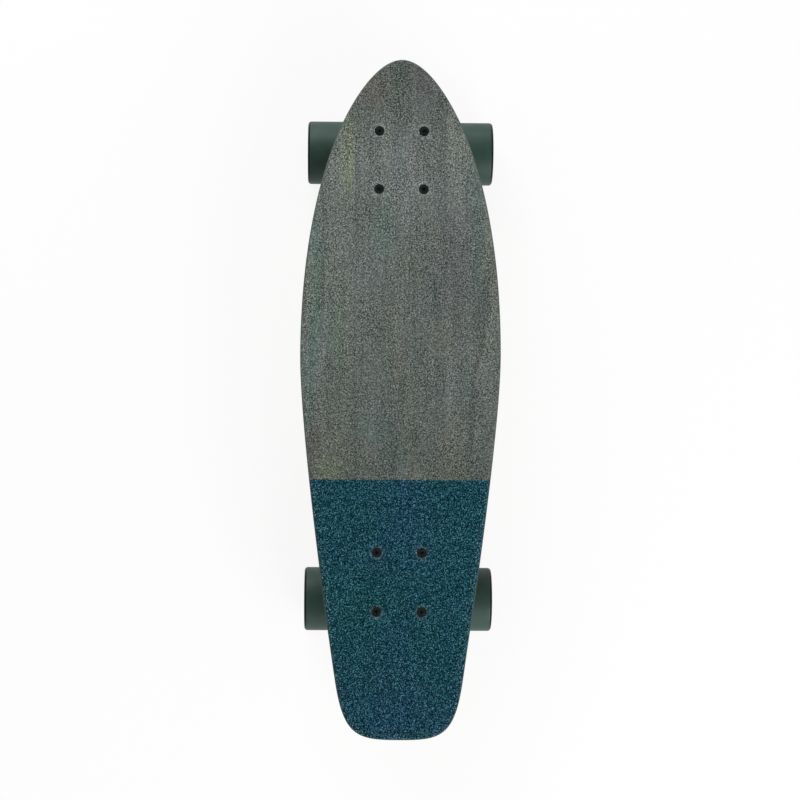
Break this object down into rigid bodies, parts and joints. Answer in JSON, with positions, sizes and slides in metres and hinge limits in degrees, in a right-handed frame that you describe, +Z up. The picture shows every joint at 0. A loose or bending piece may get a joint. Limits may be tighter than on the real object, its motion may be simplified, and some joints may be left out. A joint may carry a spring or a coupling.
{
  "type": "cruiser skateboard",
  "caption": "Short cruiser skateboard: a pressed wooden deck with grit and a kicked tail, sprung steering trucks and wide urethane wheels on bearings.",
  "frame": {"origin": "on the floor, below the middle of the deck's length and width", "axes": "+Y towards the nose, +Z up, +X towards the right edge seen from above with the nose ahead"},
  "size_m": [0.1844, 0.6224, 0.1217],
  "materials": {
    "deck_wood": "lacquered maple, seven cross-laid veneers with a dark stained edge",
    "grey_grip": "clear grit over a grey-green stained veneer",
    "blue_grip": "grit over dark teal-blue paint",
    "riser_rubber": "matte moulded pad",
    "black_steel": "black oxide",
    "cast_truck": "tumbled casting, satin",
    "cup_plastic": "moulded, satin",
    "plated_steel": "zinc plated, bright",
    "bushing_urethane": "cast urethane, satin",
    "wheel_urethane": "cast urethane, satin to matte",
    "core_plastic": "moulded nylon, satin",
    "bearing_steel": "ground race with pressed shields"
  },
  "bodies": {
    "root": {"deck": "deck_wood", "grip_front": "grey_grip", "grip_rear": "blue_grip", "riser_front": "riser_rubber", "riser_rear": "riser_rubber", "front_deck_bolt_1": "black_steel", "front_deck_bolt_2": "black_steel", "front_deck_bolt_3": "black_steel", "front_deck_bolt_4": "black_steel", "rear_deck_bolt_1": "black_steel", "rear_deck_bolt_2": "black_steel", "rear_deck_bolt_3": "black_steel", "rear_deck_bolt_4": "black_steel", "front_baseplate": "cast_truck", "front_pivot_cup": "cup_plastic", "front_kingpin": "plated_steel", "front_kingpin_nut": "black_steel", "front_bushing_board": "bushing_urethane", "front_bushing_road": "bushing_urethane", "front_washer_board": "plated_steel", "front_washer_road": "plated_steel", "rear_baseplate": "cast_truck", "rear_pivot_cup": "cup_plastic", "rear_kingpin": "plated_steel", "rear_kingpin_nut": "black_steel", "rear_bushing_board": "bushing_urethane", "rear_bushing_road": "bushing_urethane", "rear_washer_board": "plated_steel", "rear_washer_road": "plated_steel"},
    "front_truck": {"front_hanger": "cast_truck", "front_axle": "plated_steel", "front_axle_nut_left": "black_steel", "front_axle_nut_right": "black_steel", "front_left_sleeve": "plated_steel", "front_right_sleeve": "plated_steel"},
    "rear_truck": {"rear_hanger": "cast_truck", "rear_axle": "plated_steel", "rear_axle_nut_left": "black_steel", "rear_axle_nut_right": "black_steel", "rear_left_sleeve": "plated_steel", "rear_right_sleeve": "plated_steel"},
    "front_left_wheel": {"front_left_tyre": "wheel_urethane", "front_left_core": "core_plastic", "front_left_bearing_outer": "bearing_steel", "front_left_bearing_inner": "bearing_steel"},
    "front_right_wheel": {"front_right_tyre": "wheel_urethane", "front_right_core": "core_plastic", "front_right_bearing_outer": "bearing_steel", "front_right_bearing_inner": "bearing_steel"},
    "rear_left_wheel": {"rear_left_tyre": "wheel_urethane", "rear_left_core": "core_plastic", "rear_left_bearing_outer": "bearing_steel", "rear_left_bearing_inner": "bearing_steel"},
    "rear_right_wheel": {"rear_right_tyre": "wheel_urethane", "rear_right_core": "core_plastic", "rear_right_bearing_outer": "bearing_steel", "rear_right_bearing_inner": "bearing_steel"}
  },
  "joints": [
    {"name": "front_steer", "type": "hinge", "parent": "root", "child": "front_truck", "pos_m": [0, 0.24555, 0.06813], "axis": [0, 0.8796, 0.4757], "range_deg": [-18, 18], "stiffness_Nm_per_rad": 20, "deforming": ["front_bushing_board", "front_bushing_road"]},
    {"name": "rear_steer", "type": "hinge", "parent": "root", "child": "rear_truck", "pos_m": [0, -0.19755, 0.06813], "axis": [0, -0.8796, 0.4757], "range_deg": [-18, 18], "stiffness_Nm_per_rad": 20, "deforming": ["rear_bushing_board", "rear_bushing_road"]},
    {"name": "front_left_spin", "type": "hinge", "parent": "front_truck", "child": "front_left_wheel", "pos_m": [-0.065, 0.23555, 0.02963], "axis": [1, 0, 0], "continuous": true},
    {"name": "front_right_spin", "type": "hinge", "parent": "front_truck", "child": "front_right_wheel", "pos_m": [0.065, 0.23555, 0.02963], "axis": [1, 0, 0], "continuous": true},
    {"name": "rear_left_spin", "type": "hinge", "parent": "rear_truck", "child": "rear_left_wheel", "pos_m": [-0.065, -0.18755, 0.02963], "axis": [1, 0, 0], "continuous": true},
    {"name": "rear_right_spin", "type": "hinge", "parent": "rear_truck", "child": "rear_right_wheel", "pos_m": [0.065, -0.18755, 0.02963], "axis": [1, 0, 0], "continuous": true}
  ]
}
